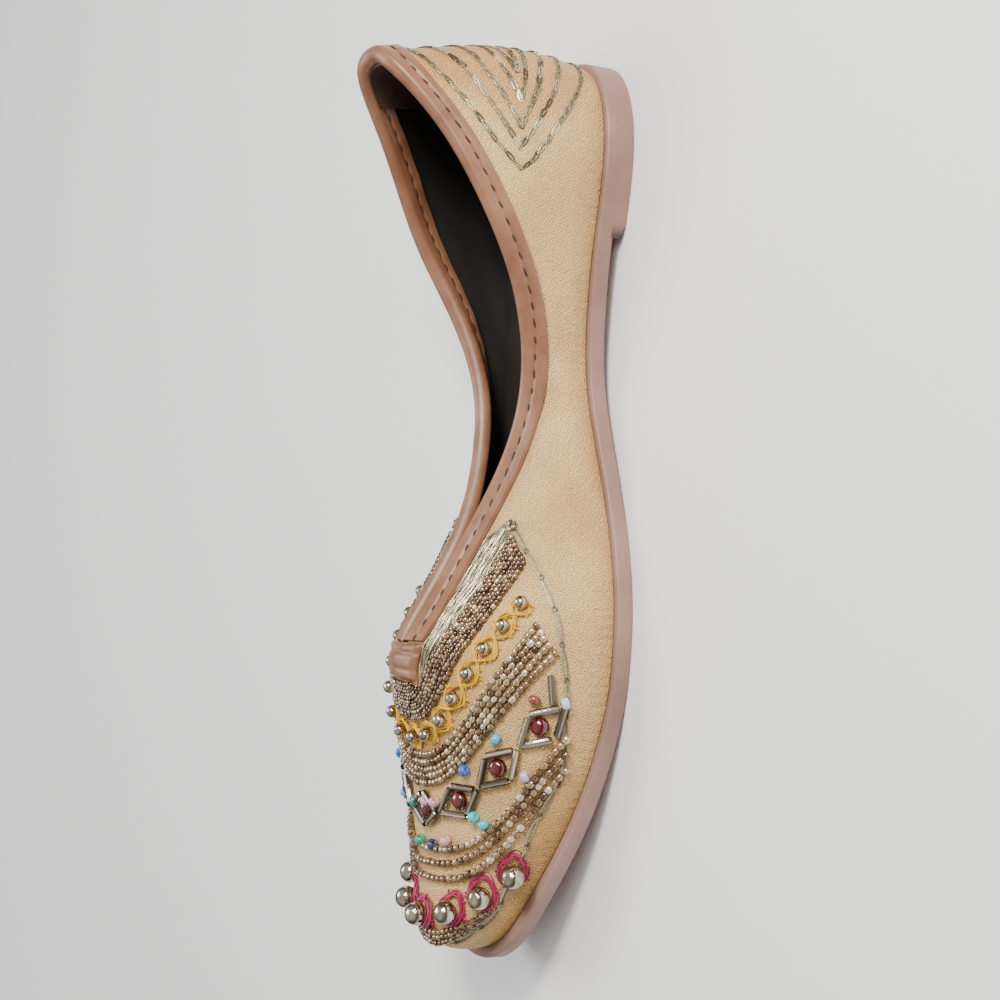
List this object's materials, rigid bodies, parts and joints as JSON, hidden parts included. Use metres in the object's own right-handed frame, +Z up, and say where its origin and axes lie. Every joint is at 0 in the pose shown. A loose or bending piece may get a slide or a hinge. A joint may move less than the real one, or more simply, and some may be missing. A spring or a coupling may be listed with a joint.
{
  "type": "mojari shoe",
  "caption": "Left slip-on mojari shoe: brocade upper with a beaded vamp, leather-bound V collar, chevron-stitched heel and thin leather sole with a low heel lift.",
  "frame": {"origin": "on the floor, under the middle of the shoe's box", "axes": "+Y towards the toe, +X to the shoe's right, its inner side, +Z up"},
  "size_m": [0.0862, 0.2568, 0.0684],
  "materials": {
    "sole_leather": "smooth dusty mauve, satin",
    "heel_rubber": "matt dusty mauve, dark breast",
    "insole_leather": "matt dark brown",
    "brocade": "fine slanted weave, soft gold sheen",
    "binding_leather": "fine grain, soft sheen",
    "seed_beads": "silver-lined champagne seed beads in close rows",
    "bead_metal": "polished pale metal",
    "red_glass": "deep red, glossy",
    "bugle_glass": "silver-lined grey brown, glossy"
  },
  "bodies": {
    "root": {"outsole": "sole_leather", "heel_lift": "heel_rubber", "insole": "insole_leather", "upper": "brocade", "topline_binding": "binding_leather", "throat_tab": "binding_leather", "seed_band_1": "seed_beads", "seed_band_2": "seed_beads", "seed_band_3": "seed_beads", "seed_band_4": "seed_beads", "small_ball_1": "bead_metal", "small_ball_2": "bead_metal", "small_ball_3": "bead_metal", "small_ball_4": "bead_metal", "small_ball_5": "bead_metal", "small_ball_6": "bead_metal", "small_ball_7": "bead_metal", "small_ball_8": "bead_metal", "small_ball_9": "bead_metal", "small_ball_10": "bead_metal", "small_ball_11": "bead_metal", "small_ball_12": "bead_metal", "small_ball_13": "bead_metal", "small_ball_14": "bead_metal", "small_ball_15": "bead_metal", "large_ball_1": "bead_metal", "large_ball_2": "bead_metal", "large_ball_3": "bead_metal", "large_ball_4": "bead_metal", "large_ball_5": "bead_metal", "large_ball_6": "bead_metal", "large_ball_7": "bead_metal", "red_stone_1": "red_glass", "red_stone_2": "red_glass", "red_stone_3": "red_glass", "red_stone_4": "red_glass", "red_stone_5": "red_glass", "red_stone_6": "red_glass", "red_stone_7": "red_glass", "bugle_diamond_1": "bugle_glass", "bugle_diamond_2": "bugle_glass", "bugle_diamond_3": "bugle_glass", "bugle_diamond_4": "bugle_glass", "bugle_diamond_5": "bugle_glass", "bugle_diamond_6": "bugle_glass", "bugle_diamond_7": "bugle_glass"}
  },
  "joints": []
}
